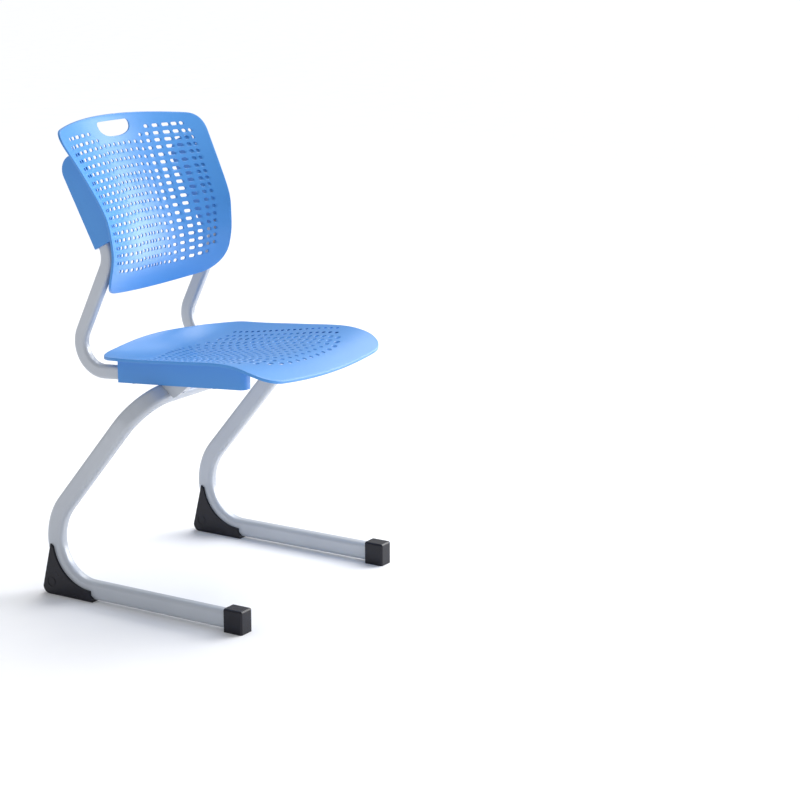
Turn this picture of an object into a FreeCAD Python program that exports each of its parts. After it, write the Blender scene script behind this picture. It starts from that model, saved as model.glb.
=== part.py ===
import FreeCAD, Part
import math
import os

import Sketcher
from FreeCAD import Placement, Rotation, Vector

# Student chair: a cantilever frame of bent steel tube under a moulded seat and backrest.
# Frame: +Z up, front towards -Y, origin on the floor under the middle of the whole chair.
# Lengths are millimetres and angles are degrees. Every driving size is one cell of the sheet.

SIZES = {
    # the whole chair
    "leg_spacing": 425.0,        # between the middles of the two floor runners
    "rail_spacing": 294.0,       # between the middles of the two seat rails
    "runner_middle": 6.3,        # Y of the middle of the floor runners
    # leg tubes: flat-sided oval tube
    "leg_depth": 32.0,
    "leg_width": 22.0,
    "leg_corner": 8.0,
    "leg_wall": 1.5,
    "leg_lean": 40.0,            # forward lean of the slanted leg from upright
    "runner_front": 205.0,       # runner middle to the tube's front end
    "runner_rear": 186.0,        # runner middle to the rear-most point of the tube's middle
    "foot_bend": 79.0,           # bend radius from the runner up to vertical
    "knee_bend": 101.0,          # bend radius from vertical into the slant
    "hip_bend": 67.0,            # bend radius from the slant into the cross bar
    # floor pieces
    "sole": 3.2,                 # plastic under the runner
    "cap_length": 35.5,
    "cap_nose": 4.0,
    "cap_side": 4.0,
    "cap_top": 4.8,
    "cap_round": 3.5,
    "foot_side": 4.0,
    "foot_height": 90.0,
    "foot_toe": 103.0,           # runner middle to the toe of the rear foot
    "foot_toe_height": 8.0,
    "foot_tongue_height": 12.0,  # top of the toe where it meets the tube
    "foot_heel": 210.0,          # runner middle to the heel
    "foot_heel_round": 13.0,
    "foot_heel_top": 191.0,      # runner middle to the heel's upper end
    "foot_lip_drop": 4.0,        # top of the side walls below the top of the foot
    "foot_edge_round": 2.0,
    "foot_hollow_front": 150.0,  # runner middle to the hollow moulded under the heel
    "foot_hollow_length": 40.0,
    "foot_hollow_height": 11.0,
    "foot_hollow_side": 3.5,
    "ring_middle": 189.7,        # runner middle to the ring moulded in each side
    "ring_height": 23.0,
    "ring_outer": 9.0,
    "ring_width": 1.8,
    "ring_depth": 0.8,
    "foot_screw_middle": 118.0,  # runner middle to the screw in the toe
    "foot_screw_length": 9.0,
    "foot_screw_shank": 3.5,
    "foot_screw_head": 6.5,
    "foot_screw_head_height": 2.0,
    "foot_screw_recess": 0.4,
    # seat rails: smaller flat-sided oval tube, one bent tube from seat to backrest
    "rail_depth": 24.0,
    "rail_width": 17.0,
    "rail_corner": 6.0,
    "rail_wall": 1.2,
    "rail_bend": 46.0,
    "rail_height": 392.0,        # middle of the rail above the floor, at the runner middle
    "rail_fall": 4.0,            # fall of the seat rail towards the rear
    "rail_front": 134.0,         # runner middle to the rail's front end
    "rail_rear_corner": 202.4,   # runner middle to where the rail and upright lines meet
    "upright_lean": 26.1,        # forward lean of the upright
    "upright_length": 224.5,     # rear corner to upper corner, along the upright
    "back_lean": 28.0,           # rearward lean of the rail's top end
    "rail_top_length": 168.0,    # upper corner to the tube's top end
    # brackets between cross bar and rails
    "bracket_sheet": 2.5,
    "bracket_reach": 54.0,       # bar's middle to the bracket's front end
    "bracket_tail": 6.0,         # bar's middle to the bracket's rear end
    "bracket_drop": 24.0,
    "bracket_toe": 20.0,         # bar's middle to the rear of the lower end
    "bracket_toe_width": 9.0,
    "bracket_toe_rise": 4.0,
    "bracket_hole": 7.0,
    "bracket_hole_place": 22.0,  # down the front flange from its top
    # plastic shells
    "seat_half_width": 182.0,
    "seat_rear": 117.0,          # runner middle to the rear corners
    "seat_front": 230.0,         # runner middle to the front corners
    "seat_rear_bow": 22.0,
    "seat_front_bow": 8.0,
    "seat_rear_round": 52.0,
    "seat_front_round": 46.0,
    "seat_shell_wall": 3.0,
    "back_bottom": 519.0,        # height of the backrest's bottom corners
    "back_top": 784.6,
    "back_bottom_half": 161.0,
    "back_middle_half": 171.0,
    "back_top_half": 196.5,
    "back_bottom_bow": 15.0,
    "back_top_bow": 12.0,
    "back_bottom_round": 42.0,
    "back_top_round": 28.0,
    "back_shell_wall": 2.7,
    "shell_rim_width": 4.0,
    "shell_rim_depth": 5.5,
    "handle_width": 84.0,
    "handle_height": 26.0,
    "handle_below_top": 10.1,
    "handle_corner": 6.0,
    # sockets moulded to take the rails
    "socket_wall": 3.0,
    "channel_rear": 87.0,
    "channel_front": 173.0,
    "channel_front_round": 9.0,
    "sleeve_bottom": 22.0,       # upper corner of the rail to the sleeve's square mouth
    "sleeve_top_round": 26.0,
    "sleeve_over": 12.0,         # sleeve beyond the rail's top end
    # screws through the sockets into the rails
    "screw_shank": 4.2,
    "screw_length": 14.0,
    "screw_head": 8.5,
    "screw_head_height": 2.8,
    "screw_head_round": 1.7,
    "seat_screw_first": 30.0,    # rail's front end to the front screw
    "seat_screw_last": 60.0,     # rear end of the straight rail to the rear screw
    "back_screw_first": 45.0,    # sleeve's mouth to the lower screw
    "back_screw_last": 20.0,     # rail's top end to the upper screw
    # inner sleeve at the middle of the cross bar
    "spigot_length": 120.0,
    "fit_gap": 0.1,
}

doc = FreeCAD.newDocument("student_chair")
sheet = doc.addObject("Spreadsheet::Sheet", "sizes")
for row, (alias, value) in enumerate(SIZES.items(), 1):
    sheet.set(f"A{row}", alias.replace("_", " "))
    sheet.set(f"B{row}", str(value))
    sheet.setAlias(f"B{row}", alias)
doc.recompute()


def size(alias):
    return float(sheet.get(alias))


X = Vector(1, 0, 0)
Y = Vector(0, 1, 0)
Z = Vector(0, 0, 1)
SIDES = {"left": -1, "right": 1}
MIDDLE = size("runner_middle")
LEG_X = size("leg_spacing") / 2
RAIL_X = size("rail_spacing") / 2
nodes = []


def add_shape(label, shape):
    """Keep a finished solid as a sub-part of its own."""
    feature = doc.addObject("Part::Feature", label)
    feature.Label = label
    feature.Shape = shape
    feature.Placement = Placement()
    nodes.append(feature)
    return feature


def mirrored(shape):
    return shape.mirror(Vector(0, 0, 0), X)


def add_pair(name, left_shape):
    add_shape(f"{name}_left", left_shape)
    add_shape(f"{name}_right", mirrored(left_shape))


# ---------------------------------------------------------------- bent tube


def rounded_wire(middle, across, along, half_across, half_along, corner):
    """A rectangle with round corners, in the plane of two unit vectors."""
    spots = []
    for sign_a, sign_b in ((1, 1), (-1, 1), (-1, -1), (1, -1)):
        centre = middle + across * (sign_a * (half_across - corner))
        centre += along * (sign_b * (half_along - corner))
        first = across * (sign_a * corner)
        second = along * (sign_b * corner)
        if sign_a * sign_b < 0:
            first, second = second, first
        diagonal = (first + second) * math.sqrt(0.5)
        spots.append((centre + first, centre + diagonal, centre + second))
    edges = []
    for number, (start, halfway, end) in enumerate(spots):
        edges.append(Part.Arc(start, halfway, end).toShape())
        following = spots[(number + 1) % 4][0]
        edges.append(Part.LineSegment(end, following).toShape())
    return Part.Wire(edges)


class Bender:
    """Follows a tube's middle line and keeps the straight and bent lengths."""

    def __init__(self, start, heading, across, tube):
        self.place = start
        self.heading = heading
        self.across = across
        self.tube = tube
        self.lengths = []
        self.solid_lengths = []

    def section(self, hollow):
        along = self.heading.cross(self.across)
        depth, width, corner, wall = self.tube
        outer = rounded_wire(self.place, self.across, along, width / 2, depth / 2, corner)
        if not hollow:
            return Part.Face(outer)
        inner = rounded_wire(self.place, self.across, along,
                             width / 2 - wall, depth / 2 - wall, corner - wall)
        return Part.Face(outer).cut(Part.Face(inner)).Faces[0]

    def run(self, length):
        step = self.heading * length
        self.lengths.append(self.section(True).extrude(step))
        self.solid_lengths.append(self.section(False).extrude(step))
        self.place = self.place + step
        return self

    def bend(self, radius, angle, axis):
        """Turn by the angle about the axis, with the bend's centre on the inside."""
        centre = self.place + axis.cross(self.heading) * radius
        self.lengths.append(self.section(True).revolve(centre, axis, angle))
        self.solid_lengths.append(self.section(False).revolve(centre, axis, angle))
        turn = Rotation(axis, angle)
        self.place = centre + turn.multVec(self.place - centre)
        self.heading = turn.multVec(self.heading)
        self.across = turn.multVec(self.across)
        return self

    def tube_solid(self):
        return self.lengths[0].multiFuse(self.lengths[1:]).removeSplitter()

    def filled_solid(self):
        return self.solid_lengths[0].multiFuse(self.solid_lengths[1:]).removeSplitter()


# ---------------------------------------------------------------- leg tubes

LEG_TUBE = (size("leg_depth"), size("leg_width"), size("leg_corner"), size("leg_wall"))
RUNNER_Z = size("sole") + size("leg_depth") / 2
lean = math.radians(size("leg_lean"))
fall = math.radians(size("rail_fall"))


def section_rise(depth, width, corner, tilt):
    """Height of a leaning round-cornered section above its own middle."""
    return (depth / 2 - corner) * math.sin(tilt) + (width / 2 - corner) * math.cos(tilt) + corner


# The cross bar lies against the brackets' top sheet, which lies against the rails.
knee_rise = size("foot_bend") + size("knee_bend") * math.sin(lean)
knee_y = size("runner_rear") - size("knee_bend") * (1 - math.cos(lean))
bar_rise = section_rise(size("leg_depth"), size("leg_width"), size("leg_corner"), lean + fall)
stack = size("rail_depth") / 2 + size("bracket_sheet") + bar_rise
# Height of the bar's middle where the slanted leg meets the line under the falling rail.
under_rail = size("rail_height") - stack / math.cos(fall)
slant_start_z = RUNNER_Z + knee_rise
slant_length = (under_rail - slant_start_z - math.tan(fall) * knee_y)
slant_length /= math.cos(lean) - math.tan(fall) * math.sin(lean)
BAR_Y = MIDDLE + knee_y - slant_length * math.sin(lean)
BAR_Z = slant_start_z + slant_length * math.cos(lean)

leg = Bender(Vector(-LEG_X, MIDDLE - size("runner_front"), RUNNER_Z), Y, X, LEG_TUBE)
leg.run(size("runner_front") + size("runner_rear") - size("foot_bend"))
leg.bend(size("foot_bend"), 90, X)
leg.bend(size("knee_bend"), size("leg_lean"), X)
leg.run(slant_length - size("hip_bend"))
leg.bend(size("hip_bend"), 90, leg.heading.cross(X))
leg.run(LEG_X - size("hip_bend"))
leg_tube = leg.tube_solid()
leg_filled = leg.filled_solid()

# ---------------------------------------------------------------- seat rails

RAIL_TUBE = (size("rail_depth"), size("rail_width"), size("rail_corner"), size("rail_wall"))
rail_turn = 90 + size("upright_lean") + size("rail_fall")
top_turn = size("upright_lean") + size("back_lean")
rear_tangent = size("rail_bend") * math.tan(math.radians(rail_turn / 2))
top_tangent = size("rail_bend") * math.tan(math.radians(top_turn / 2))
rail_heading = Vector(0, math.cos(fall), -math.sin(fall))
rail_start = Vector(-RAIL_X, MIDDLE - size("rail_front"),
                    size("rail_height") + size("rail_front") * math.tan(fall))
rail_run = (size("rail_front") + size("rail_rear_corner")) / math.cos(fall) - rear_tangent

rail = Bender(rail_start, rail_heading, X, RAIL_TUBE)
rail.run(rail_run)
rail.bend(size("rail_bend"), rail_turn, X)
rail.run(size("upright_length") - rear_tangent - top_tangent)
rail.bend(size("rail_bend"), top_turn, -X)
BACK_START = rail.place
BACK_HEADING = rail.heading
rail.run(size("rail_top_length") - top_tangent)
BACK_END = rail.place
rail_tube = rail.tube_solid()

# ---------------------------------------------------------------- shell surfaces


def smooth(stations, values, spot):
    """A smooth curve through a few stations: cubic pieces with matching slopes."""
    last = len(stations) - 2
    number = 0
    while number < last and spot > stations[number + 1]:
        number += 1
    slopes = []
    for end in (number, number + 1):
        low = max(end - 1, 0)
        high = min(end + 1, len(stations) - 1)
        slopes.append((values[high] - values[low]) / (stations[high] - stations[low]))
    span = stations[number + 1] - stations[number]
    part = (spot - stations[number]) / span
    rest = 1 - part
    return (values[number] * (1 + 2 * part) * rest ** 2
            + values[number + 1] * (3 - 2 * part) * part ** 2
            + span * part * rest * (slopes[0] * rest - slopes[1] * part))


# Seat: heights of the side rim and of the dish below it, from the front edge to the rear,
# measured from the runner middle.
SEAT_STATIONS = (-260.0, -232.0, -187.0, -145.0, -58.0, 29.0, 87.0, 112.0, 139.0, 160.0)
SEAT_RIM = (398.0, 413.0, 429.0, 434.0, 428.0, 421.0, 418.0, 417.3, 416.7, 416.5)
SEAT_DISH = (9.0, 8.5, 9.0, 13.0, 19.0, 22.0, 21.5, 13.0, -4.0, -12.0)

# Backrest: how far back the side edge lies at a few heights, from the runner middle, and
# how much further back the middle lies.
BACK_STATIONS = (490.0, 541.0, 580.0, 615.0, 650.0, 698.0, 746.0, 770.0, 792.0, 815.0)
BACK_EDGE = (118.0, 93.0, 83.5, 84.5, 91.0, 115.5, 144.0, 159.0, 171.0, 182.0)
BACK_HOLLOW = (26.0, 35.0, 46.0, 54.0, 61.5, 58.0, 53.5, 49.0, 47.0, 46.0)


def seat_height(x, y):
    rim = smooth(SEAT_STATIONS, SEAT_RIM, y - MIDDLE)
    dish = smooth(SEAT_STATIONS, SEAT_DISH, y - MIDDLE)
    return rim - dish * (1 - (x / size("seat_half_width")) ** 2)


def back_half_width(z):
    """Half width of the backrest at a height, through its three given widths."""
    part = (z - size("back_bottom")) / (size("back_top") - size("back_bottom"))
    return (size("back_bottom_half") * (1 - part) * (1 - 2 * part)
            + size("back_middle_half") * 4 * part * (1 - part)
            + size("back_top_half") * part * (2 * part - 1))


def back_depth(x, z):
    edge = smooth(BACK_STATIONS, BACK_EDGE, z) + MIDDLE
    hollow = smooth(BACK_STATIONS, BACK_HOLLOW, z)
    return edge + hollow * (1 - (x / back_half_width(z)) ** 2)


def spread(low, high, count):
    return [low + (high - low) * number / (count - 1) for number in range(count)]


def sheet_face(rows):
    surface = Part.BSplineSurface()
    surface.interpolate(rows)
    return surface.toShape()


# The surfaces run a little past the shells' outlines, which trim them.
MARGIN = 8.0
LONG_WAY = 23
WIDE_WAY = 9
THROUGH = 600.0    # longer than any trimming cut needs
front_y = MIDDLE - size("seat_front")
rear_y = MIDDLE + size("seat_rear")
seat_reach = size("seat_half_width") + MARGIN
seat_face = sheet_face([[Vector(x, y, seat_height(x, y))
                         for y in spread(front_y - size("seat_front_bow") - MARGIN,
                                         rear_y + size("seat_rear_bow") + MARGIN, LONG_WAY)]
                        for x in spread(-seat_reach, seat_reach, WIDE_WAY)])
back_reach = size("back_top_half") + MARGIN
back_face = sheet_face([[Vector(x, back_depth(x, z), z)
                         for z in spread(size("back_bottom") - size("back_bottom_bow") - MARGIN,
                                         size("back_top") + size("back_top_bow") + MARGIN, LONG_WAY)]
                        for x in spread(-back_reach, back_reach, WIDE_WAY)])

CORNER_PULL = 0.65    # how far a corner's curve is drawn out towards the sharp corner


def shell_outline(half_width, low_end, high_end):
    """Flat closed outline of a shell: side edges, bowed ends and round corners.

    Each end is its corners' place along Y, the bow beyond them and the corners' round.
    """
    sides = Part.BSplineCurve()
    sides.interpolate([Vector(half_width(spot), spot, 0)
                       for spot in spread(low_end[0] + low_end[2], high_end[0] - high_end[2], 6)])
    right_edges = [sides.toShape()]
    bows = []
    for (edge, bow, corner_round), outward in ((low_end, -1), (high_end, 1)):
        reach = 1 - corner_round / half_width(edge)
        bow_end = Vector(half_width(edge) * reach, edge + outward * bow * (1 - reach ** 2), 0)
        corner = Vector(half_width(edge), edge, 0)
        side_place = edge - outward * corner_round
        side_end = Vector(half_width(side_place), side_place, 0)
        turn = Part.BezierCurve()
        turn.setPoles([bow_end, bow_end + (corner - bow_end) * CORNER_PULL,
                       side_end + (corner - side_end) * CORNER_PULL, side_end])
        right_edges.append(turn.toShape())
        across = Part.Arc(Vector(-bow_end.x, bow_end.y, 0), Vector(0, edge + outward * bow, 0),
                          bow_end)
        bows.append(across.toShape())
    left_edges = [edge.mirror(Vector(0, 0, 0), X) for edge in right_edges]
    return Part.Wire(Part.__sortEdges__(right_edges + bows + left_edges))


RIM_WIDTH = size("shell_rim_width")


def rimmed_shell(face, inward, column, inside_column):
    """A thin shell with a deeper rim all round; inward is its wall's direction and thickness."""
    rim_depth = Vector(inward).normalize() * size("shell_rim_depth")
    rim = face.extrude(rim_depth).common(column).cut(inside_column)
    return face.extrude(inward).common(column).fuse(rim).removeSplitter()


# ---------------------------------------------------------------- seat shell


def seat_column(rim):
    """The block that trims the seat shell, smaller all round by the rim."""
    outline = shell_outline(lambda y: size("seat_half_width") - rim,
                            (front_y + rim, size("seat_front_bow"), size("seat_front_round")),
                            (rear_y - rim, size("seat_rear_bow"), size("seat_rear_round")))
    return Part.Face(outline).extrude(Z * THROUGH)


add_shape("seat_shell", rimmed_shell(seat_face, Z * -size("seat_shell_wall"),
                                     seat_column(0), seat_column(RIM_WIDTH)))

# ---------------------------------------------------------------- backrest shell

# The outline is drawn flat with its Y as height, then stood up to face the front.
UPRIGHT = Placement(Vector(0, 0, 0), Rotation(X, 90))


def back_column(rim):
    """The block that trims the backrest shell, smaller all round by the rim."""
    outline = shell_outline(lambda z: back_half_width(z) - rim,
                            (size("back_bottom") + rim, size("back_bottom_bow"),
                             size("back_bottom_round")),
                            (size("back_top") - rim, size("back_top_bow"),
                             size("back_top_round")))
    return Part.Face(outline.transformGeometry(UPRIGHT.toMatrix())).extrude(Y * THROUGH)


# Handle hole: straight on top with round corners, and bowed below.
handle_top = size("back_top") + size("back_top_bow") - size("handle_below_top")
handle_low = handle_top - size("handle_height")
handle_half = size("handle_width") / 2
round_by = size("handle_corner")
handle_edges = [
    Part.LineSegment(Vector(-handle_half + round_by, 0, handle_top),
                     Vector(handle_half - round_by, 0, handle_top)).toShape()]
for side in SIDES.values():
    tip = Vector(side * handle_half, 0, handle_top - round_by)
    upper = Vector(side * (handle_half - round_by), 0, handle_top)
    centre = Vector(upper.x, 0, tip.z)
    halfway = centre + (tip - centre + upper - centre) * math.sqrt(0.5)
    handle_edges.append(Part.Arc(upper, halfway, tip).toShape())
    swoop = Part.BezierCurve()
    swoop.setPoles([tip, Vector(tip.x, 0, tip.z - round_by),
                    Vector(side * handle_half * CORNER_PULL, 0, handle_low),
                    Vector(0, 0, handle_low)])
    handle_edges.append(swoop.toShape())
handle_hole = Part.Face(Part.Wire(Part.__sortEdges__(handle_edges))).extrude(Y * THROUGH)

back_shell = rimmed_shell(back_face, Y * size("back_shell_wall"),
                          back_column(0), back_column(RIM_WIDTH))
add_shape("backrest_shell", back_shell.cut(handle_hole))

# ---------------------------------------------------------------- sockets on the rails

TOUCH = 0.01    # how near counts as the same place


def rounded(shape, radius, chosen):
    """Round the edges whose middle points pass a test."""
    return shape.makeFillet(radius, [edge for edge in shape.Edges if chosen(edge.CenterOfMass)])


wall = size("socket_wall")
gap = size("fit_gap")
socket_half = size("rail_width") / 2 + gap + wall
under = size("rail_depth") / 2 + gap + wall
bore_half_width = size("rail_width") / 2 + gap
bore_half_depth = size("rail_depth") / 2 + gap
bore_corner = size("rail_corner") + gap


def side_plate(points):
    """A solid as wide as a socket, from the (Y, Z) points of its side outline."""
    corners = [Vector(-RAIL_X - socket_half, y, z) for y, z in points + points[:1]]
    return Part.Face(Part.makePolygon(corners)).extrude(X * (2 * socket_half))


def bore(start, heading, length):
    """Room for the rail, with a fit gap all round."""
    mouth_face = Part.Face(rounded_wire(start, X, heading.cross(X), bore_half_width,
                                        bore_half_depth, bore_corner))
    return mouth_face.extrude(heading * length)


# Seat channel: open towards the rear, closed at the front, topped by the shell.
rail_normal = Vector(0, math.sin(fall), math.cos(fall))


def below_rail(y):
    """Point under the channel at a place along Y."""
    along = (y - rail_start.y) / math.cos(fall)
    return rail_start + rail_heading * along - rail_normal * under


channel_back = MIDDLE + size("channel_rear")
channel_face = MIDDLE - size("channel_front")
channel = side_plate([(channel_back, below_rail(channel_back).z),
                      (channel_face, below_rail(channel_face).z),
                      (channel_face, THROUGH), (channel_back, THROUGH)])
channel = rounded(channel, size("channel_front_round"),
                  lambda spot: abs(spot.y - channel_face) < TOUCH
                  and abs(abs(spot.x + RAIL_X) - socket_half) < TOUCH)
below_seat = seat_face.extrude(Z * -THROUGH)
below_seat.translate(Z * -size("seat_shell_wall"))
channel = channel.common(below_seat).cut(bore(rail_start, rail_heading, THROUGH))

# Backrest sleeve: square mouth across the rail, rounded top, closed by the shell in front.
to_rear = X.cross(BACK_HEADING)
to_rear = to_rear if to_rear.y > 0 else to_rear * -1
mouth = BACK_START - BACK_HEADING * (top_tangent - size("sleeve_bottom"))
crown = BACK_END + BACK_HEADING * size("sleeve_over")
crown_rear = crown + to_rear * under
sleeve = side_plate([(spot.y, spot.z) for spot in (
    mouth + to_rear * under, mouth - to_rear * THROUGH, crown - to_rear * THROUGH, crown_rear)])
sleeve = rounded(sleeve, size("sleeve_top_round"),
                 lambda spot: abs(spot.y - crown_rear.y) + abs(spot.z - crown_rear.z) < TOUCH)
behind_back = back_face.extrude(Y * THROUGH)
behind_back.translate(Y * size("back_shell_wall"))
sleeve = sleeve.common(behind_back)
bore_start = mouth - BACK_HEADING * MARGIN
sleeve = sleeve.cut(bore(bore_start, BACK_HEADING, (BACK_END - bore_start).Length + gap))

# ---------------------------------------------------------------- screws


def screw(under_head, axis):
    """A pan head screw driven along the axis, its head lying on the surface."""
    shank = Part.makeCylinder(size("screw_shank") / 2, size("screw_length"), under_head, axis)
    head_top = under_head - axis * size("screw_head_height")
    head = Part.makeCylinder(size("screw_head") / 2, size("screw_head_height"), head_top, axis)
    head = rounded(head, size("screw_head_round"),
                   lambda spot: (spot - head_top).Length < TOUCH)
    return shank.fuse(head)


seat_screws = []
for along in (size("seat_screw_first"), rail_run - size("seat_screw_last")):
    spot = rail_start + rail_heading * along - rail_normal * under
    seat_screws.append(screw(spot, rail_normal))
back_screws = []
for along in (size("back_screw_first"), (BACK_END - mouth).Length - size("back_screw_last")):
    spot = mouth + BACK_HEADING * along + to_rear * under
    back_screws.append(screw(spot, to_rear * -1))
for fastener in seat_screws:
    channel = channel.cut(fastener)
    rail_tube = rail_tube.cut(fastener)
for fastener in back_screws:
    sleeve = sleeve.cut(fastener)
    rail_tube = rail_tube.cut(fastener)


def add_all(name, left_shapes):
    """Keep several small pieces and their mirror images as one sub-part."""
    add_shape(name, Part.makeCompound(left_shapes + [mirrored(one) for one in left_shapes]))


add_pair("seat_channel", channel)
add_pair("backrest_sleeve", sleeve)
add_pair("seat_rail", rail_tube)
add_all("seat_screws", seat_screws)
add_all("backrest_screws", back_screws)

# ---------------------------------------------------------------- rear feet

# Side outline: flat sole, round heel, side walls up to the middle line of the bent tube and
# a sloping toe in front.
foot_half = size("leg_width") / 2 + size("foot_side")
radius = size("foot_bend")
bend_y = MIDDLE + size("runner_rear") - radius
bend_z = RUNNER_Z + radius
heel_round = size("foot_heel_round")


def foot_point(y, z):
    return Vector(-LEG_X - foot_half, y, z)


def on_bend(angle):
    """Point of the foot's side on the tube's middle line, by its angle above level."""
    return foot_point(bend_y + radius * math.cos(angle), bend_z + radius * math.sin(angle))


toe = MIDDLE + size("foot_toe")
heel = MIDDLE + size("foot_heel")
lip_z = size("foot_height") - size("foot_lip_drop")
lip_angle = math.asin((lip_z - bend_z) / radius)
low_angle = -math.pi / 2
sole_front = foot_point(toe, 0)
sole_rear = foot_point(heel - heel_round, 0)
heel_end = foot_point(heel, heel_round)
heel_halfway = foot_point(heel - heel_round * (1 - math.sqrt(0.5)),
                          heel_round * (1 - math.sqrt(0.5)))
heel_top = foot_point(MIDDLE + size("foot_heel_top"), size("foot_height"))
toe_top = foot_point(toe, size("foot_toe_height"))
tongue = foot_point(bend_y, size("foot_tongue_height"))
foot_edges = [
    Part.LineSegment(sole_front, sole_rear).toShape(),
    Part.Arc(sole_rear, heel_halfway, heel_end).toShape(),
    Part.LineSegment(heel_end, heel_top).toShape(),
    Part.LineSegment(heel_top, on_bend(lip_angle)).toShape(),
    Part.Arc(on_bend(lip_angle), on_bend((lip_angle + low_angle) / 2),
             on_bend(low_angle)).toShape(),
    Part.LineSegment(on_bend(low_angle), tongue).toShape(),
    Part.LineSegment(tongue, toe_top).toShape(),
    Part.LineSegment(toe_top, sole_front).toShape(),
]
foot = Part.Face(Part.Wire(foot_edges)).extrude(X * (2 * foot_half))
foot = rounded(foot, size("foot_edge_round"),
               lambda spot: abs(abs(spot.x + LEG_X) - foot_half) < TOUCH
               and spot.y > MIDDLE + size("runner_rear"))
foot = foot.cut(leg_filled)
hollow_half = foot_half - size("foot_hollow_side")
foot = foot.cut(Part.makeBox(2 * hollow_half, size("foot_hollow_length"),
                             size("foot_hollow_height"),
                             Vector(-LEG_X - hollow_half, MIDDLE + size("foot_hollow_front"), 0)))
ring_y = MIDDLE + size("ring_middle")
for ring_x in (-LEG_X - foot_half, -LEG_X + foot_half - size("ring_depth")):
    ring_place = Vector(ring_x, ring_y, size("ring_height"))
    ring = Part.makeCylinder(size("ring_outer"), size("ring_depth"), ring_place, X)
    ring = ring.cut(Part.makeCylinder(size("ring_outer") - size("ring_width"),
                                      size("ring_depth"), ring_place, X))
    foot = foot.cut(ring)

# Countersunk screw up through the toe into the runner.
screw_y = MIDDLE + size("foot_screw_middle")
head_base = Vector(-LEG_X, screw_y, size("foot_screw_recess"))
shank = Part.makeCylinder(size("foot_screw_shank") / 2, size("foot_screw_length"), head_base, Z)
head = Part.makeCone(size("foot_screw_head") / 2, size("foot_screw_shank") / 2,
                     size("foot_screw_head_height"), head_base, Z)
foot_screw = shank.fuse(head)
recess = Part.makeCylinder(size("foot_screw_head") / 2, size("foot_screw_recess"),
                           Vector(-LEG_X, screw_y, 0), Z)
foot = foot.cut(foot_screw).cut(recess)
leg_tube = leg_tube.cut(foot_screw)
add_pair("rear_foot", foot)
add_all("foot_screws", [foot_screw])
add_pair("leg_tube", leg_tube)

# ---------------------------------------------------------------- front caps


def plane_of(body, role):
    return [item for item in body.Origin.OriginFeatures if item.Role == role][0]


def rectangle(body, name, role, low, high):
    """A sketch of one rectangle whose corners are sheet expressions."""
    sketch = body.newObject("Sketcher::SketchObject", name)
    sketch.AttachmentSupport = [(plane_of(body, role), "")]
    sketch.MapMode = "FlatFace"
    drawn = 10.0
    ends = [(0, 0), (drawn, 0), (drawn, drawn), (0, drawn)]
    for number, (x, y) in enumerate(ends):
        following = ends[(number + 1) % 4]
        sketch.addGeometry(Part.LineSegment(Vector(x, y, 0), Vector(*following, 0)))
    for number in range(4):
        sketch.addConstraint(Sketcher.Constraint("Coincident", number, 2, (number + 1) % 4, 1))
    for number, kind in enumerate(("Horizontal", "Vertical", "Horizontal", "Vertical")):
        sketch.addConstraint(Sketcher.Constraint(kind, number))
    bounds = (("left", "DistanceX", 0, low[0]), ("bottom", "DistanceY", 0, low[1]),
              ("right", "DistanceX", 2, high[0]), ("top", "DistanceY", 2, high[1]))
    for label, kind, line, expression in bounds:
        number = sketch.addConstraint(Sketcher.Constraint(kind, -1, 1, line, 1, drawn))
        sketch.renameConstraint(number, label)
        sketch.setExpression(f"Constraints.{label}", expression)
    return sketch


def through_middle(body, kind, name, sketch, length):
    """Pad or pocket a sketch by the same amount to both sides of its plane."""
    feature = body.newObject(f"PartDesign::{kind}", name)
    feature.Profile = sketch
    feature.Midplane = True
    feature.setExpression("Length", length)
    return feature


# Front cap: a push-on cup over the runner's front end.
tube_end = "sizes.runner_middle - sizes.runner_front"
nose = f"{tube_end} - sizes.cap_nose"
for side, sign in SIDES.items():
    cap = doc.addObject("PartDesign::Body", f"front_cap_{side}")
    cap.Label = f"front_cap_{side}"
    outline = rectangle(cap, f"cap_outline_{side}", "YZ_Plane", (nose, "0"),
                        (f"{nose} + sizes.cap_length",
                         "sizes.sole + sizes.leg_depth + sizes.cap_top"))
    block = through_middle(cap, "Pad", f"cap_block_{side}", outline,
                           "sizes.leg_width + 2 * sizes.cap_side")
    doc.recompute()
    cap_rear = MIDDLE - size("runner_front") - size("cap_nose") + size("cap_length")
    rims = [f"Edge{number}" for number, edge in enumerate(block.Shape.Edges, 1)
            if edge.CenterOfMass.z > TOUCH and abs(edge.CenterOfMass.y - cap_rear) > TOUCH]
    rounding = cap.newObject("PartDesign::Fillet", f"cap_round_{side}")
    rounding.Base = (block, rims)
    rounding.setExpression("Radius", "sizes.cap_round")
    socket = rectangle(cap, f"cap_socket_outline_{side}", "YZ_Plane", (tube_end, "sizes.sole"),
                       (f"{tube_end} + sizes.cap_length", "sizes.sole + sizes.leg_depth"))
    through_middle(cap, "Pocket", f"cap_socket_{side}", socket, "sizes.leg_width")
    cap.setExpression("Placement.Base.x", f"{sign} * sizes.leg_spacing / 2")
    nodes.append(cap)

# ---------------------------------------------------------------- joint sleeve

# A short inner tube that lines up the two halves at the middle of the cross bar.
leg_wall = size("leg_wall")
spigot = Bender(Vector(-size("spigot_length") / 2, BAR_Y, BAR_Z), X,
                Vector(0, math.sin(lean), -math.cos(lean)),
                (size("leg_depth") - 2 * leg_wall, size("leg_width") - 2 * leg_wall,
                 size("leg_corner") - leg_wall, leg_wall))
spigot.run(size("spigot_length"))
add_shape("leg_joint_sleeve", spigot.tube_solid())

# ---------------------------------------------------------------- rail brackets

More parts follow.
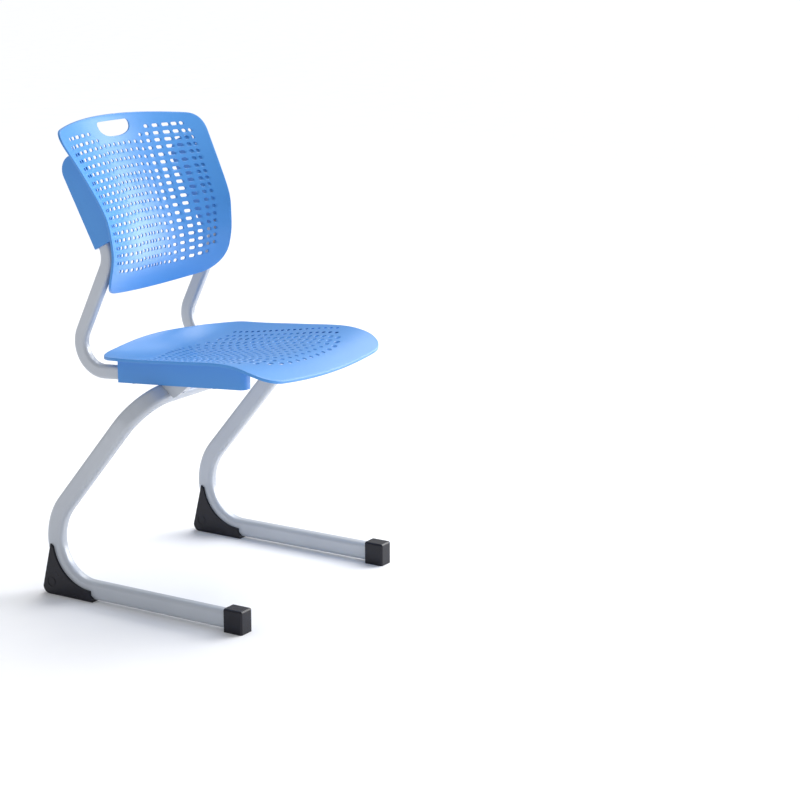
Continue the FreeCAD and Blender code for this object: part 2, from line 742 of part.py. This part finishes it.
# Folded sheet under the rail, coped round the cross bar and welded to both. Drawn with its
# top on the XY plane and the cross bar's middle at Y 0.
reach = size("bracket_reach")
thick = size("bracket_sheet")
half_rail = size("rail_width") / 2
top_sheet = Part.makeBox(2 * half_rail, reach + size("bracket_tail"), thick,
                         Vector(-half_rail, -reach, -thick))
fold_top = Vector(-half_rail, -reach, -thick)
fold_low = Vector(-half_rail, -size("bracket_toe") - size("bracket_toe_width"),
                  -size("bracket_drop") + size("bracket_toe_rise"))
side_sheet = Part.Face(Part.makePolygon([
    fold_top, Vector(-half_rail, size("bracket_tail"), -thick),
    Vector(-half_rail, -size("bracket_toe"), -size("bracket_drop")), fold_low,
    fold_top])).extrude(X * thick)
slope = (fold_low - fold_top).normalize()
outward = X.cross(slope)
outward = outward if outward.y < 0 else outward * -1
front_sheet = Part.Face(Part.makePolygon([
    fold_top, fold_low, fold_low - outward * thick, fold_top - outward * thick,
    fold_top])).extrude(X * (2 * half_rail))
hole_middle = fold_top + slope * size("bracket_hole_place") + X * half_rail
drill = Part.makeCylinder(size("bracket_hole") / 2, 2 * MARGIN, hole_middle + outward * MARGIN,
                          outward * -1)
bracket = top_sheet.fuse([side_sheet, front_sheet]).removeSplitter().cut(drill)
rail_under_z = (size("rail_height") - (BAR_Y - MIDDLE) * math.tan(fall)
                - size("rail_depth") / 2 / math.cos(fall))
bracket.Placement = Placement(Vector(-RAIL_X, BAR_Y, rail_under_z),
                              Rotation(X, -size("rail_fall")))
add_pair("rail_bracket", bracket.cut(leg_filled))

# ---------------------------------------------------------------- checks and files

doc.recompute()
for item in doc.Objects:
    if "Invalid" in item.State or "Error" in item.State:
        raise RuntimeError(f"{item.Label} did not build")
os.makedirs("parts", exist_ok=True)
for node in nodes:
    shape = node.Shape
    if shape.isNull() or not shape.isValid():
        raise RuntimeError(f"{node.Label} has no valid shape")
    shape.exportStep(f"parts/{node.Label}.step")
    box = shape.BoundBox
    print(f"{node.Label:24} {len(shape.Solids)} solid(s) {shape.Volume / 1000:9.2f} cm3",
          f"x {box.XMin:7.1f} {box.XMax:7.1f} y {box.YMin:7.1f} {box.YMax:7.1f}",
          f"z {box.ZMin:6.1f} {box.ZMax:6.1f}")
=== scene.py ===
import math

import bpy
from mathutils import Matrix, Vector


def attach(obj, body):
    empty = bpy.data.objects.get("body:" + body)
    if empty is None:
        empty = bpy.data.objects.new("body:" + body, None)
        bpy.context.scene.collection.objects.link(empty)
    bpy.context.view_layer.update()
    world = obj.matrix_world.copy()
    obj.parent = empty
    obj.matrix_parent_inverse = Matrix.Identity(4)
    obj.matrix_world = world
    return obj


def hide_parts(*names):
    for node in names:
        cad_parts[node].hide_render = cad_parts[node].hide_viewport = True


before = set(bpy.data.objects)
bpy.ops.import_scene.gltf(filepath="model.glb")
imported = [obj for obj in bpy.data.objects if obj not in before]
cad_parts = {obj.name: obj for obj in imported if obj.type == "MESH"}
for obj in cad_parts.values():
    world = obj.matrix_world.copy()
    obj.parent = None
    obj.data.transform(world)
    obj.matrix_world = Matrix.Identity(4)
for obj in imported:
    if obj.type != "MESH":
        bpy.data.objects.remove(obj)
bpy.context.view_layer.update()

# Legs, seat rails and brackets: bent flat-sided steel tube and folded sheet, welded together and
# powder coated in one pale grey satin paint. The welds are hidden under the seat.
PAINT_COLOUR = "#bcc1c8"
PAINT_SHADE = "#b8bdc5"
PAINT_PEEL = 900          # ripples of the sprayed coat per metre, about 1 mm apart
DRIFT_SPACING = 9.0       # slow drifts of colour per metre, in every finish
DRIFT_ENDS = (0.35, 0.65)
GRAIN_STRENGTH = 0.25


def linear(hex_colour):
    """A screen colour as the linear colour that the shaders take."""
    parts = [int(hex_colour[at:at + 2], 16) / 255 for at in (1, 3, 5)]
    return (*[part / 12.92 if part <= 0.04045 else ((part + 0.055) / 1.055) ** 2.4
              for part in parts], 1)


def add(material, kind, links=(), **values):
    """Adds a node. links are (input, node, output) and values are inputs or settings by name."""
    node = material.node_tree.nodes.new(kind)
    for name, value in values.items():
        if hasattr(node, name):
            setattr(node, name, value)
        else:
            node.inputs[name.replace("_", " ")].default_value = value
    for target, source, output in links:
        material.node_tree.links.new(source.outputs[output], node.inputs[target])
    return node


def finish_material(name, colour, shade, grain, depth, rough_low, rough_high, **shader):
    """A finish with a slight drift of colour, an uneven gloss and a fine surface grain."""
    material = bpy.data.materials.new(name)
    material.use_nodes = True
    material.node_tree.nodes.clear()
    place = add(material, "ShaderNodeTexCoord")
    drift = add(material, "ShaderNodeTexNoise", [("Vector", place, "Object")],
                Scale=DRIFT_SPACING, Detail=3.0)
    tint = add(material, "ShaderNodeValToRGB", [("Fac", drift, "Fac")])
    for stop, position, tone in zip(tint.color_ramp.elements, DRIFT_ENDS, (shade, colour)):
        stop.position = position
        stop.color = linear(tone)
    fine = add(material, "ShaderNodeTexNoise", [("Vector", place, "Object")],
               Scale=grain, Detail=2.0)
    gloss = add(material, "ShaderNodeMapRange", [("Value", fine, "Fac")])
    gloss.inputs["To Min"].default_value = rough_low
    gloss.inputs["To Max"].default_value = rough_high
    bump = add(material, "ShaderNodeBump", [("Height", fine, "Fac")],
               Strength=GRAIN_STRENGTH, Distance=depth)
    surface = add(material, "ShaderNodeBsdfPrincipled",
                  [("Base Color", tint, "Color"), ("Roughness", gloss, "Result"),
                   ("Normal", bump, "Normal")])
    for name, value in shader.items():
        surface.inputs[name.replace("_", " ")].default_value = value
    add(material, "ShaderNodeOutputMaterial", [("Surface", surface, "BSDF")])
    return material


def dress(node_name, material):
    """Gives a carried-over CAD node its finish."""
    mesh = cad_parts[node_name].data
    mesh.materials.clear()
    mesh.materials.append(material)


# Satin powder coat: soft even sheen with a faint orange peel.
steel_paint = finish_material("grey_satin_powder_coat", PAINT_COLOUR, PAINT_SHADE,
                              PAINT_PEEL, 0.0001, 0.26, 0.36, Metallic=0.1, Coat_Weight=0.15)
for side in ("left", "right"):
    for part in ("leg_tube_", "seat_rail_", "rail_bracket_"):
        dress(part + side, steel_paint)

# Screws and the sleeve inside the leg joint: zinc-plated steel, bright with a faint uneven
# grain. The screws hold the sockets and feet, and the sleeve joins the legs.
ZINC_GRAIN = 1500         # per metre, about 0.7 mm apart
zinc = finish_material("zinc_plated_steel", "#c9ccd0", "#b3b7bc", ZINC_GRAIN, 0.00005, 0.25, 0.42,
                       Metallic=1.0)
for part in ("seat_screws", "backrest_screws", "foot_screws", "leg_joint_sleeve"):
    dress(part, zinc)

# Front caps and rear feet: moulded black plastic, semi-gloss from a smooth mould. The caps
# are pushed over the runners' ends, and the feet are screwed on at the toe.
FOOT_GRAIN = 700          # per metre, about 1.4 mm apart
black_plastic = finish_material("black_semi_gloss_plastic", "#191922", "#16161f", FOOT_GRAIN, 0.00008,
                                0.18, 0.28, Specular_IOR_Level=0.3)
for side in ("left", "right"):
    dress("front_cap_" + side, black_plastic)
    dress("rear_foot_" + side, black_plastic)

# Sockets that take the rails, under the seat and behind the backrest: the same sky blue
# polypropylene as the shells, fine-textured from the mould, which softens its sheen.
BLUE = "#448fd8"
BLUE_SHADE = "#418cd5"
MOULD_GRAIN = 1100        # per metre; the real grain is finer, and is drawn coarser to show
blue_plastic = finish_material("blue_moulded_polypropylene", BLUE, BLUE_SHADE, MOULD_GRAIN, 0.00015,
                               0.30, 0.42, Coat_Weight=0.12, Coat_Roughness=0.3)
for side in ("left", "right"):
    dress("seat_channel_" + side, blue_plastic)
    dress("backrest_sleeve_" + side, blue_plastic)

# Seat: one moulded polypropylene shell, dished, with a turned-down rim and rows of small
# round-ended holes. It is cut flat, then every point is put on the dished surface.
MIDDLE = 6.3              # Y of the floor runners' middle; lengths here and below are millimetres
SEAT_HALF = 182.0
SEAT_FRONT, SEAT_FRONT_BOW, SEAT_FRONT_ROUND = 230.0, 8.0, 46.0
SEAT_REAR, SEAT_REAR_BOW, SEAT_REAR_ROUND = 117.0, 22.0, 52.0
SEAT_WALL = 3.0
RIM_WIDTH, RIM_DEPTH = 4.0, 5.5
CORNER_PULL = 0.65
RIM_SOFTNESS = 0.9
BOW_STEPS, CORNER_STEPS, SIDE_STEPS = 16, 14, 20      # straight steps that draw the outline
EDGE_TURN = math.radians(60)      # turns sharper than this are edges to soften
SMOOTH_TURN = math.radians(35)    # turns gentler than this are shaded smooth
GRID = 6.0                # spacing of the cuts that let the flat slab follow the surface
HOLE_SIDES = 16
HOLE_FLARE = 0.5
# heights of the side edges and of the bowl below them, from the front of the seat to the rear
SEAT_STATIONS = (-260, -232, -187, -145, -58, 29, 87, 112, 139, 160)
SEAT_RIM = (398, 413, 429, 434, 428, 421, 418, 417.3, 416.7, 416.5)
SEAT_DISH = (9, 8.5, 9, 13, 19, 22, 21.5, 13, -4, -12)
SEAT_ROWS = 18
SEAT_REAR_COLUMNS = (0, 10, 20, 33, 50, 69, 92, 112, 133)      # places of the rear row's holes
SEAT_REAR_ROW = (87, 87, 86, 82, 77, 70, 62, 59, 58)
SEAT_FRONT_COLUMNS = (0, 19, 38, 58, 79, 99, 120, 143, 166)    # and of the front row's
SEAT_FRONT_ROW = (-195, -195, -194, -193, -190, -182, -170, -152, -138)
HOLE_SHARE = 0.49         # of the spacing between rows taken by a hole
SEAT_HOLE_DRAFT = 1.2
SEAT_REAR_WIDTHS = (4, 4.2, 5, 6.2, 8, 10.5, 12, 8, 6.2)
SEAT_FRONT_WIDTHS = (5.6, 6, 6.5, 8, 11, 13.5, 12.5, 8.5, 6.5)


def smooth(stations, values, spot):
    """A smooth curve through a few stations: cubic pieces with matching slopes."""
    number = 0
    while number < len(stations) - 2 and spot > stations[number + 1]:
        number += 1
    slopes = []
    for end in (number, number + 1):
        low, high = max(end - 1, 0), min(end + 1, len(stations) - 1)
        slopes.append((values[high] - values[low]) / (stations[high] - stations[low]))
    span = stations[number + 1] - stations[number]
    part = (spot - stations[number]) / span
    rest = 1 - part
    return (values[number] * (1 + 2 * part) * rest ** 2
            + values[number + 1] * (3 - 2 * part) * part ** 2
            + span * part * rest * (slopes[0] * rest - slopes[1] * part))


def between(low, high, part):
    """The value a given part of the way from low to high."""
    return low + (high - low) * part


def shell_outline(half_width, low_end, high_end):
    """Points round a shell: side edges, bowed ends and round corners, from the low end's middle."""
    right = []
    for (edge, bow, corner_round), outward in ((low_end, -1), (high_end, 1)):
        half = half_width(edge)
        reach = 1 - corner_round / half
        end = []
        for n in range(BOW_STEPS + 1):
            part = reach * n / BOW_STEPS
            end.append((half * part, edge + outward * bow * (1 - part ** 2)))
        side_place = edge - outward * corner_round
        bow_end, corner = Vector(end[-1]), Vector((half, edge))
        side_end = Vector((half_width(side_place), side_place))
        poles = (bow_end, bow_end.lerp(corner, CORNER_PULL),
                 side_end.lerp(corner, CORNER_PULL), side_end)
        for n in range(1, CORNER_STEPS + 1):
            t = n / CORNER_STEPS
            end.append(poles[0] * (1 - t) ** 3 + poles[1] * 3 * t * (1 - t) ** 2
                       + poles[2] * 3 * t * t * (1 - t) + poles[3] * t ** 3)
        right.append([tuple(point) for point in end])
    low, high = right[0], right[1][::-1]
    low_y, high_y = low[-1][1], high[0][1]
    side_ys = [between(low_y, high_y, n / SIDE_STEPS) for n in range(1, SIDE_STEPS)]
    right = low + [(half_width(y), y) for y in side_ys] + high
    return right + [(-x, y) for x, y in right[-2:0:-1]]


def edit(obj):
    """Opens one object alone in edit mode with everything on it selected."""
    bpy.ops.object.select_all(action="DESELECT")
    obj.select_set(True)
    bpy.context.view_layer.objects.active = obj
    bpy.ops.object.mode_set(mode="EDIT")
    bpy.ops.mesh.select_all(action="SELECT")


def leave():
    """Goes back to object mode."""
    bpy.ops.object.mode_set(mode="OBJECT")


def prism(name, outline, low, high):
    """A flat-ended solid with the given outline, left in edit mode with its high end selected."""
    bpy.ops.object.select_all(action="DESELECT")
    bpy.ops.mesh.primitive_circle_add(vertices=len(outline), radius=1, fill_type="NGON")
    solid = bpy.context.object
    solid.name = name
    for vertex, (x, y) in zip(solid.data.vertices, outline):
        vertex.co = (x, y, low)
    edit(solid)
    bpy.ops.mesh.extrude_region_move(TRANSFORM_OT_translate={"value": (0, 0, high - low)})
    return solid


def apply_modifier(obj, kind, **settings):
    """Adds one modifier with its settings and applies it at once."""
    bpy.ops.object.select_all(action="DESELECT")
    obj.select_set(True)
    bpy.context.view_layer.objects.active = obj
    modifier = obj.modifiers.new("step", kind)
    for name, value in settings.items():
        setattr(modifier, name, value)
    bpy.ops.object.modifier_apply(modifier=modifier.name)


def flat_shell(name, outline, wall):
    """The shell laid flat: thin field, deeper soft-edged rim, cut into a grid of small faces."""
    shell = prism(name, outline, 0, RIM_DEPTH)
    bpy.ops.mesh.inset(thickness=RIM_WIDTH)
    bpy.ops.transform.translate(value=(0, 0, wall - RIM_DEPTH))
    bpy.ops.mesh.select_all(action="SELECT")
    bpy.ops.mesh.normals_make_consistent(inside=False)
    leave()
    apply_modifier(shell, "BEVEL", width=RIM_SOFTNESS, segments=3, limit_method="ANGLE",
                   angle_limit=EDGE_TURN)
    edit(shell)
    for axis in (0, 1):
        reach = [point[axis] for point in outline]
        count = math.ceil((max(reach) - min(reach)) / GRID)
        for n in range(1, count):
            cut, facing = [0, 0, 0], [0, 0, 0]
            cut[axis] = between(min(reach), max(reach), n / count)
            facing[axis] = 1
            bpy.ops.mesh.select_all(action="SELECT")
            bpy.ops.mesh.bisect(plane_co=cut, plane_no=facing)
    leave()
    return shell


def hole_cutter(holes, wall, draft):
    """One object of many round-ended pegs with flared ends, from (x, y, width, height).

    draft is how much wider, all round, a hole is at the back of the wall than at the front.
    """
    turns = [(n + 0.5) * math.tau / HOLE_SIDES for n in range(HOLE_SIDES)]
    points = [(math.cos(turn), math.sin(turn)) for turn in turns]
    peg = prism("peg", points, -HOLE_FLARE, HOLE_FLARE)
    bpy.ops.mesh.extrude_region_move(TRANSFORM_OT_translate={"value": (0, 0, wall - 2 * HOLE_FLARE)})
    bpy.ops.mesh.extrude_region_move(TRANSFORM_OT_translate={"value": (0, 0, 2 * HOLE_FLARE)})
    bpy.ops.mesh.select_all(action="SELECT")
    bpy.ops.mesh.normals_make_consistent(inside=False)
    leave()
    pegs = []
    for x, y, width, height in holes:
        copy = bpy.data.objects.new("peg_copy", peg.data.copy())
        bpy.context.scene.collection.objects.link(copy)
        radius = min(width, height) / 2
        for vertex in copy.data.vertices:
            at_end = not HOLE_FLARE / 2 < vertex.co.z < wall - HOLE_FLARE / 2
            wide = radius + draft * vertex.co.z / wall + (2 * HOLE_FLARE if at_end else 0)
            across, along = vertex.co.x, vertex.co.y
            vertex.co.x = x + wide * across + math.copysign(width / 2 - radius, across)
            vertex.co.y = y + wide * along + math.copysign(height / 2 - radius, along)
        pegs.append(copy)
    bpy.data.objects.remove(peg)
    bpy.ops.object.select_all(action="DESELECT")
    for copy in pegs:
        copy.select_set(True)
    bpy.context.view_layer.objects.active = pegs[0]
    bpy.ops.object.join()
    return bpy.context.object


def cut_away(shell, cutter):
    """Cuts the pegs out of the flat shell."""
    apply_modifier(shell, "BOOLEAN", operation="DIFFERENCE", object=cutter, solver="MANIFOLD")
    bpy.data.objects.remove(cutter)


def settle(shell, place):
    """Puts every point of a flat shell on its surface, in metres, and smooths the shading."""
    for vertex in shell.data.vertices:
        vertex.co = Vector(place(*vertex.co)) / 1000
    edit(shell)
    bpy.ops.mesh.flip_normals()
    leave()
    bpy.ops.object.shade_smooth_by_angle(angle=SMOOTH_TURN)


def seat_place(x, y, down):
    """Where a point of the flat seat goes on the dished one."""
    rim = smooth(SEAT_STATIONS, SEAT_RIM, y - MIDDLE)
    dish = smooth(SEAT_STATIONS, SEAT_DISH, y - MIDDLE)
    return x, y, rim - dish * (1 - (x / SEAT_HALF) ** 2) - down


seat = flat_shell("seat_perforated",
                  shell_outline(lambda y: SEAT_HALF,
                                (MIDDLE - SEAT_FRONT, SEAT_FRONT_BOW, SEAT_FRONT_ROUND),
                                (MIDDLE + SEAT_REAR, SEAT_REAR_BOW, SEAT_REAR_ROUND)), SEAT_WALL)
seat_holes = []
for row in range(SEAT_ROWS):
    forward = row / (SEAT_ROWS - 1)
    for column in range(-8, 9):
        out = abs(column)
        x = between(SEAT_REAR_COLUMNS[out], SEAT_FRONT_COLUMNS[out], forward)
        pitch = (SEAT_REAR_ROW[out] - SEAT_FRONT_ROW[out]) / (SEAT_ROWS - 1)
        seat_holes.append((math.copysign(x, column), MIDDLE + SEAT_REAR_ROW[out] - row * pitch,
                           between(SEAT_REAR_WIDTHS[out], SEAT_FRONT_WIDTHS[out], forward),
                           HOLE_SHARE * pitch))
cut_away(seat, hole_cutter(seat_holes, SEAT_WALL, SEAT_HOLE_DRAFT))
settle(seat, seat_place)
seat.data.materials.clear()
seat.data.materials.append(blue_plastic)
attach(seat, "root")
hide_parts("seat_shell")

# Backrest: the same moulded polypropylene, hollow from side to side, with nineteen rows of
# round-ended holes that widen towards the sides and a hand hole near the top edge.
BACK_BOTTOM, BACK_BOTTOM_HALF, BACK_BOTTOM_BOW, BACK_BOTTOM_ROUND = 519.0, 161.0, 15.0, 42.0
BACK_TOP, BACK_TOP_HALF, BACK_TOP_BOW, BACK_TOP_ROUND = 784.6, 196.5, 12.0, 28.0
BACK_MIDDLE_HALF = 171.0
BACK_WALL = 2.7
HOLE_HEIGHT = 5.7
# Y of the side edges and depth of the hollow behind them, from the bottom of the backrest up
BACK_STATIONS = (490, 541, 580, 615, 650, 698, 746, 770, 792, 815)
BACK_EDGE = (118, 93, 83.5, 84.5, 91, 115.5, 144, 159, 171, 182)
BACK_HOLLOW = (26, 35, 46, 54, 61.5, 58, 53.5, 49, 47, 46)
BACK_ROW_MIDDLES = (541.8, 556.2, 569.6, 582.8, 595.8, 608.7, 622, 635.5, 649, 661, 673, 684.6,
                    696, 708.8, 721.4, 734, 746.3, 757.9, 770.5)
# places and widths of the holes from the middle outwards, in a low row and in a high one
BACK_LOW_COLUMNS = (0, 7.3, 16.8, 27.6, 39.2, 53, 70.6, 90.5, 107.8, 121.3, 133)
BACK_HIGH_COLUMNS = (0, 13.2, 27, 41, 54.8, 70.8, 90, 111.7, 130.7, 146.4, 157.5)
BACK_LOW_WIDTHS = (3.8, 3.9, 4.4, 5.2, 6.6, 8.6, 11.2, 12.8, 10.6, 7.0, 6.0)
BACK_HIGH_WIDTHS = (5.6, 5.6, 5.7, 5.8, 6.2, 9.0, 12.4, 14.6, 12.0, 8.0, 6.2)
BACK_LAGS = (2.7, 2.7, 2.7, 2.7, 2.7, 2.7, 2.7, 2.45, 1.83, 1.2, 1.25)
HIGH_ROW = 16             # number of that high row, from the lowest
PAST_HIGH_ROW = 1.12      # how far past it the columns go on spreading
MISSING = {0: (10,), 17: (0, 1, 2, 3), 18: (0, 1, 2, 3, 4, 10)}    # columns by row from below
ROW_RISE = 0.00065        # bow of the lowest row, fading to none at the high one
LIFTED_COLUMNS = 4
MIDDLE_LIFT = 1.6         # rise of the middle columns above the others
HANDLE_HALF, HANDLE_LOW, HANDLE_TOP, HANDLE_CORNER = 42.0, 760.5, 786.5, 6.0


def back_half_width(z):
    """Half the backrest's width at a height, through its three given widths."""
    part = (z - BACK_BOTTOM) / (BACK_TOP - BACK_BOTTOM)
    return (BACK_BOTTOM_HALF * (1 - part) * (1 - 2 * part) + BACK_MIDDLE_HALF * 4 * part * (1 - part)
            + BACK_TOP_HALF * part * (2 * part - 1))


def back_place(x, z, back):
    """Where a point of the flat backrest goes on the hollow one."""
    edge = smooth(BACK_STATIONS, BACK_EDGE, z) + MIDDLE
    hollow = smooth(BACK_STATIONS, BACK_HOLLOW, z)
    return x, edge + hollow * (1 - (x / back_half_width(z)) ** 2) + back, z


backrest = flat_shell("backrest_perforated",
                      shell_outline(back_half_width,
                                    (BACK_BOTTOM, BACK_BOTTOM_BOW, BACK_BOTTOM_ROUND),
                                    (BACK_TOP, BACK_TOP_BOW, BACK_TOP_ROUND)), BACK_WALL)
back_holes = []
for row, middle in enumerate(BACK_ROW_MIDDLES):
    for column in range(-10, 11):
        out = abs(column)
        if out in MISSING.get(row, ()):
            continue
        span = BACK_ROW_MIDDLES[HIGH_ROW] - BACK_ROW_MIDDLES[0]
        up = min((middle - BACK_ROW_MIDDLES[0]) / span, PAST_HIGH_ROW) ** BACK_LAGS[out]
        x = between(BACK_LOW_COLUMNS[out], BACK_HIGH_COLUMNS[out], up)
        rise = ROW_RISE * max(0, 1 - row / HIGH_ROW) * x * x
        lift = MIDDLE_LIFT if out < LIFTED_COLUMNS else 0
        back_holes.append((math.copysign(x, column), middle + rise + lift,
                           between(BACK_LOW_WIDTHS[out], BACK_HIGH_WIDTHS[out], up), HOLE_HEIGHT))
cut_away(backrest, hole_cutter(back_holes, BACK_WALL, 0))
HANDLE_SAG = 0.35         # height of the side curve's second pole, as a part of the hole's side
ROUND_STEPS, SWOOP_STEPS = 6, 24
PEG_ENDS = (-5, 15)       # well past both faces of the flat shell
handle = []
for n in range(ROUND_STEPS + 1):
    turn = n * math.pi / 2 / ROUND_STEPS
    handle.append((-HANDLE_HALF + HANDLE_CORNER * (1 - math.sin(turn)),
                   HANDLE_TOP - HANDLE_CORNER * (1 - math.cos(turn))))
for n in range(1, SWOOP_STEPS):
    t = n / SWOOP_STEPS
    first, second, third = (1 - t) ** 3, 3 * t * (1 - t) ** 2, 3 * t * t * (1 - t)
    handle.append((-HANDLE_HALF * (first + second + third * CORNER_PULL),
                   between(HANDLE_LOW, HANDLE_TOP - HANDLE_CORNER,
                           first + second * HANDLE_SAG)))
handle += [(0, HANDLE_LOW)] + [(-x, y) for x, y in handle[::-1]]
peg = prism("handle_peg", handle, *PEG_ENDS)
bpy.ops.mesh.select_all(action="SELECT")
bpy.ops.mesh.normals_make_consistent(inside=False)
leave()
cut_away(backrest, peg)
settle(backrest, back_place)
backrest.data.materials.clear()
backrest.data.materials.append(blue_plastic)
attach(backrest, "root")
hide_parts("backrest_shell")

# Floor and soft studio light: a plain pale sheet, one very broad high light on the right, a
# large soft panel on the right in front, and an even pale surround.
FLOOR_SIZE = 400          # metres, so that the floor fills the view up to the horizon
FLOOR_GRAIN = 40          # per metre
bpy.ops.object.select_all(action="DESELECT")
bpy.ops.mesh.primitive_plane_add(size=FLOOR_SIZE, location=(0, 0, 0))
floor = bpy.context.object
floor.name = "studio_floor"
pale = finish_material("pale_studio_floor", "#fafafb", "#f8f8fa", FLOOR_GRAIN, 0.0001, 0.75, 0.85)
floor.data.materials.append(pale)
LIGHT_AIM = Vector((0, 0, 0.4))
LIGHTS = (
    # name, kind, place, size (metres, or radians for the broad light), power
    ("broad_light", "SUN", (1.5, -0.1, 2.5), math.radians(50), 2.1),
    ("soft_panel", "AREA", (2.9, -1.9, 1.2), 2.4, 125),
)
for name, kind, spot, size, power in LIGHTS:
    lamp = bpy.data.lights.new(name, kind)
    if kind == "SUN":
        lamp.angle = size
    else:
        lamp.size = size
    lamp.energy = power
    lamp_object = bpy.data.objects.new(name, lamp)
    lamp_object.location = spot
    aim = LIGHT_AIM - Vector(spot)
    lamp_object.rotation_euler = aim.to_track_quat("-Z", "Y").to_euler()
    bpy.context.scene.collection.objects.link(lamp_object)
world = bpy.data.worlds.new("pale_surround")
world.use_nodes = True
world.node_tree.nodes["Background"].inputs["Color"].default_value = linear("#f7f9fc")
world.node_tree.nodes["Background"].inputs["Strength"].default_value = 0.55
bpy.context.scene.world = world
bpy.context.scene.view_settings.view_transform = "Standard"

# Camera: low three-quarter view with the chair on the left of the frame, through a long lens.
# Places are metres, and the view is level from side to side.
camera_data = bpy.data.cameras.new("camera")
camera_data.lens = 95.32
camera = bpy.data.objects.new("camera", camera_data)
camera.location = (-2.84544, -2.12233, 1.17491)
camera.rotation_euler = (math.radians(76.41), 0, math.radians(-58.27))
bpy.context.scene.collection.objects.link(camera)
bpy.context.scene.camera = camera
